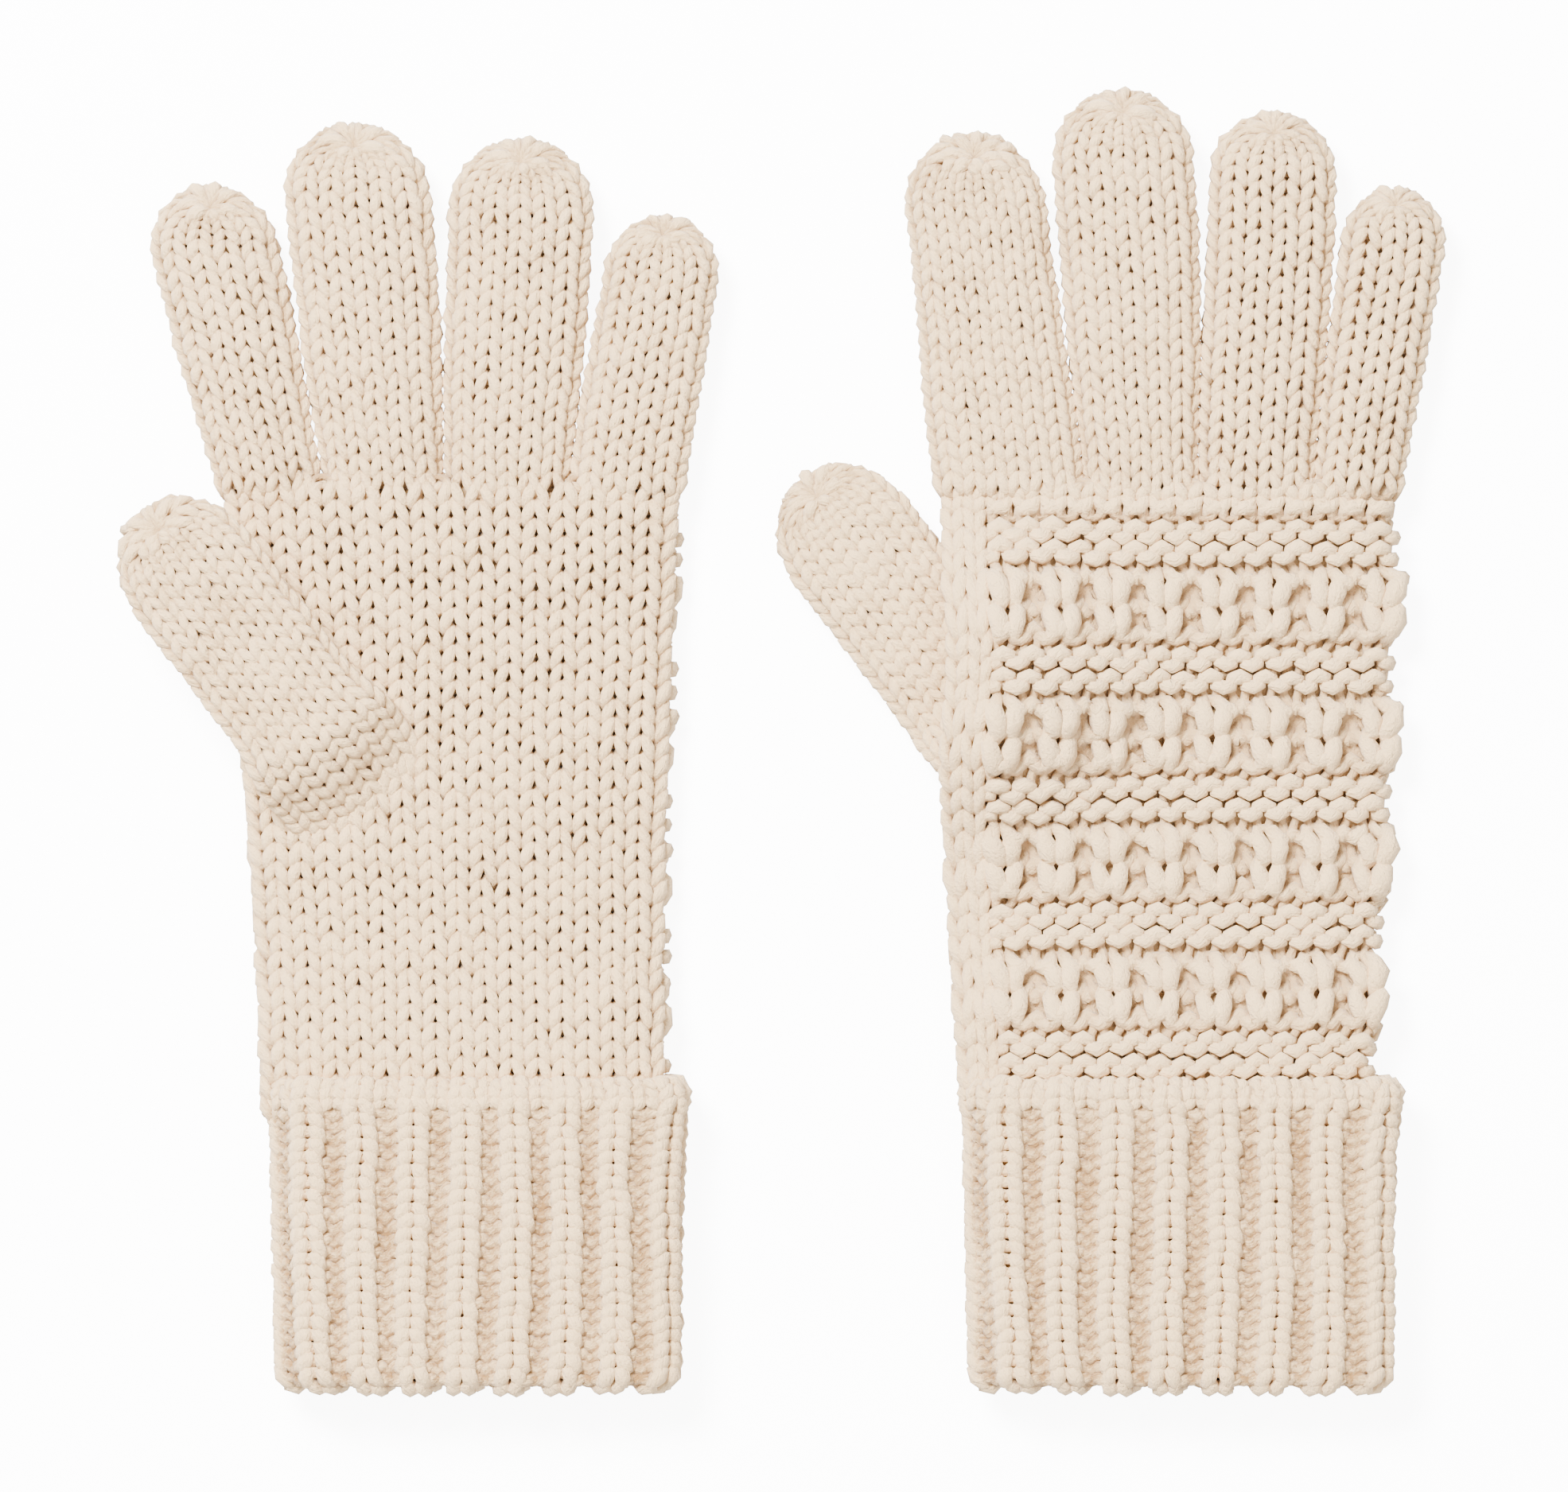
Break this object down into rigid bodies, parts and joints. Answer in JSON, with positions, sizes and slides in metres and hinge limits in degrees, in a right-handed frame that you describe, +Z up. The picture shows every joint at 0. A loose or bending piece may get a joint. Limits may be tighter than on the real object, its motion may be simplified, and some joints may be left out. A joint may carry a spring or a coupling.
{
  "type": "pair of knitted wool gloves",
  "caption": "Pair of thick knitted wool gloves with full fingers and turned-up ribbed cuffs, lying flat, palm up and back up, with bending fingers, thumbs and wrists.",
  "frame": {"origin": "middle of the pair's outline, on the surface that the gloves lie on", "axes": "+Z up from the surface, +Y from the cuffs towards the fingertips, +X from the left glove towards the right glove"},
  "size_m": [0.2776, 0.274, 0.0244],
  "materials": {
    "palm_knit": "plain stocking stitch in thick matte wool",
    "textured_knit": "bands of purl ridges and raised knit columns in thick matte wool",
    "ribbed_knit": "one by one rib in thick matte wool",
    "cast_on_edge": "rolled cast-on edge of thick matte wool",
    "finger_knit": "fine stocking stitch in matte wool",
    "gathered_yarn": "yarn ends drawn together",
    "linking_yarn": "linking yarn inside the seams"
  },
  "bodies": {
    "left_cuff": {"left_cuff_inner": "ribbed_knit", "left_cuff_turnup": "ribbed_knit", "left_cuff_edge": "cast_on_edge"},
    "left_hand": {"left_palm_panel": "palm_knit", "left_back_panel": "textured_knit", "left_thumb_side_seam": "linking_yarn", "left_little_side_seam": "linking_yarn", "left_finger_joins": "linking_yarn"},
    "left_index_base": {"left_index_base": "finger_knit"},
    "left_index_end": {"left_index_end": "finger_knit", "left_index_gather": "gathered_yarn"},
    "left_middle_base": {"left_middle_base": "finger_knit"},
    "left_middle_end": {"left_middle_end": "finger_knit", "left_middle_gather": "gathered_yarn"},
    "left_ring_base": {"left_ring_base": "finger_knit"},
    "left_ring_end": {"left_ring_end": "finger_knit", "left_ring_gather": "gathered_yarn"},
    "left_little_base": {"left_little_base": "finger_knit"},
    "left_little_end": {"left_little_end": "finger_knit", "left_little_gather": "gathered_yarn"},
    "left_thumb_base": {"left_thumb_base": "finger_knit"},
    "left_thumb_end": {"left_thumb_end": "finger_knit", "left_thumb_gather": "gathered_yarn"},
    "right_cuff": {"right_cuff_inner": "ribbed_knit", "right_cuff_turnup": "ribbed_knit", "right_cuff_edge": "cast_on_edge"},
    "right_hand": {"right_palm_panel": "palm_knit", "right_back_panel": "textured_knit", "right_thumb_side_seam": "linking_yarn", "right_little_side_seam": "linking_yarn", "right_finger_joins": "linking_yarn"},
    "right_index_base": {"right_index_base": "finger_knit"},
    "right_index_end": {"right_index_end": "finger_knit", "right_index_gather": "gathered_yarn"},
    "right_middle_base": {"right_middle_base": "finger_knit"},
    "right_middle_end": {"right_middle_end": "finger_knit", "right_middle_gather": "gathered_yarn"},
    "right_ring_base": {"right_ring_base": "finger_knit"},
    "right_ring_end": {"right_ring_end": "finger_knit", "right_ring_gather": "gathered_yarn"},
    "right_little_base": {"right_little_base": "finger_knit"},
    "right_little_end": {"right_little_end": "finger_knit", "right_little_gather": "gathered_yarn"},
    "right_thumb_base": {"right_thumb_base": "finger_knit"},
    "right_thumb_end": {"right_thumb_end": "finger_knit", "right_thumb_gather": "gathered_yarn"}
  },
  "joints": [
    {"name": "left_wrist_bend", "type": "hinge", "parent": "left_cuff", "child": "left_hand", "pos_m": [-0.0633, -0.06975, 0.022], "axis": [1, 0, 0], "range_deg": [0, 60]},
    {"name": "left_index_knuckle_bend", "type": "hinge", "parent": "left_hand", "child": "left_index_base", "pos_m": [-0.10743, 0.05525, 0.013], "axis": [1, 0, 0], "range_deg": [0, 85]},
    {"name": "left_index_middle_bend", "type": "hinge", "parent": "left_index_base", "child": "left_index_end", "pos_m": [-0.11517, 0.085, 0.013], "axis": [1, 0, 0], "range_deg": [0, 95]},
    {"name": "left_middle_knuckle_bend", "type": "hinge", "parent": "left_hand", "child": "left_middle_base", "pos_m": [-0.08321, 0.05525, 0.013], "axis": [1, 0, 0], "range_deg": [0, 85]},
    {"name": "left_middle_middle_bend", "type": "hinge", "parent": "left_middle_base", "child": "left_middle_end", "pos_m": [-0.08668, 0.085, 0.013], "axis": [1, 0, 0], "range_deg": [0, 95]},
    {"name": "left_ring_knuckle_bend", "type": "hinge", "parent": "left_hand", "child": "left_ring_base", "pos_m": [-0.05724, 0.05525, 0.013], "axis": [1, 0, 0], "range_deg": [0, 85]},
    {"name": "left_ring_middle_bend", "type": "hinge", "parent": "left_ring_base", "child": "left_ring_end", "pos_m": [-0.05655, 0.085, 0.013], "axis": [1, 0, 0], "range_deg": [0, 95]},
    {"name": "left_little_knuckle_bend", "type": "hinge", "parent": "left_hand", "child": "left_little_base", "pos_m": [-0.03208, 0.05525, 0.013], "axis": [1, 0, 0], "range_deg": [0, 85]},
    {"name": "left_little_middle_bend", "type": "hinge", "parent": "left_little_base", "child": "left_little_end", "pos_m": [-0.02815, 0.085, 0.013], "axis": [1, 0, 0], "range_deg": [0, 95]},
    {"name": "left_thumb_swing", "type": "hinge", "parent": "left_hand", "child": "left_thumb_base", "pos_m": [-0.0938, -0.0025, 0.0135], "axis": [0.7934, 0.6088, 0], "range_deg": [0, 75]},
    {"name": "left_thumb_bend", "type": "hinge", "parent": "left_thumb_base", "child": "left_thumb_end", "pos_m": [-0.1151, 0.02526, 0.0139], "axis": [-0.7934, -0.6088, 0], "range_deg": [0, 22.5]},
    {"name": "right_glove_lift", "type": "slide", "parent": "left_cuff", "child": "right_cuff", "axis": [0, 0, 1], "range_m": [0, 0.15]},
    {"name": "right_wrist_bend", "type": "hinge", "parent": "right_cuff", "child": "right_hand", "pos_m": [0.0835, -0.06975, 0], "axis": [-1, 0, 0], "range_deg": [0, 60]},
    {"name": "right_index_knuckle_bend", "type": "hinge", "parent": "right_hand", "child": "right_index_base", "pos_m": [0.04798, 0.05525, 0], "axis": [-1, 0, 0], "range_deg": [0, 85]},
    {"name": "right_index_middle_bend", "type": "hinge", "parent": "right_index_base", "child": "right_index_end", "pos_m": [0.04389, 0.085, 0], "axis": [-1, 0, 0], "range_deg": [0, 95]},
    {"name": "right_middle_knuckle_bend", "type": "hinge", "parent": "right_hand", "child": "right_middle_base", "pos_m": [0.07582, 0.05525, 0], "axis": [-1, 0, 0], "range_deg": [0, 85]},
    {"name": "right_middle_middle_bend", "type": "hinge", "parent": "right_middle_base", "child": "right_middle_end", "pos_m": [0.07374, 0.085, 0], "axis": [-1, 0, 0], "range_deg": [0, 95]},
    {"name": "right_ring_knuckle_bend", "type": "hinge", "parent": "right_hand", "child": "right_ring_base", "pos_m": [0.10002, 0.05525, 0], "axis": [-1, 0, 0], "range_deg": [0, 85]},
    {"name": "right_ring_middle_bend", "type": "hinge", "parent": "right_ring_base", "child": "right_ring_end", "pos_m": [0.10116, 0.085, 0], "axis": [-1, 0, 0], "range_deg": [0, 95]},
    {"name": "right_little_knuckle_bend", "type": "hinge", "parent": "right_hand", "child": "right_little_base", "pos_m": [0.12151, 0.05525, 0], "axis": [-1, 0, 0], "range_deg": [0, 85]},
    {"name": "right_little_middle_bend", "type": "hinge", "parent": "right_little_base", "child": "right_little_end", "pos_m": [0.12515, 0.085, 0], "axis": [-1, 0, 0], "range_deg": [0, 95]},
    {"name": "right_thumb_swing", "type": "hinge", "parent": "right_hand", "child": "right_thumb_base", "pos_m": [0.0437, 0.0048, 0.0109], "axis": [-0.7934, -0.6088, 0], "range_deg": [0, 45]},
    {"name": "right_thumb_bend", "type": "hinge", "parent": "right_thumb_base", "child": "right_thumb_end", "pos_m": [0.0224, 0.03256, 0.0105], "axis": [0.7934, 0.6088, 0], "range_deg": [0, 27]}
  ],
  "couplings": [
    {"joint": "left_thumb_bend", "follows": "left_thumb_swing", "ratio": 0.3},
    {"joint": "right_thumb_bend", "follows": "right_thumb_swing", "ratio": 0.6}
  ]
}
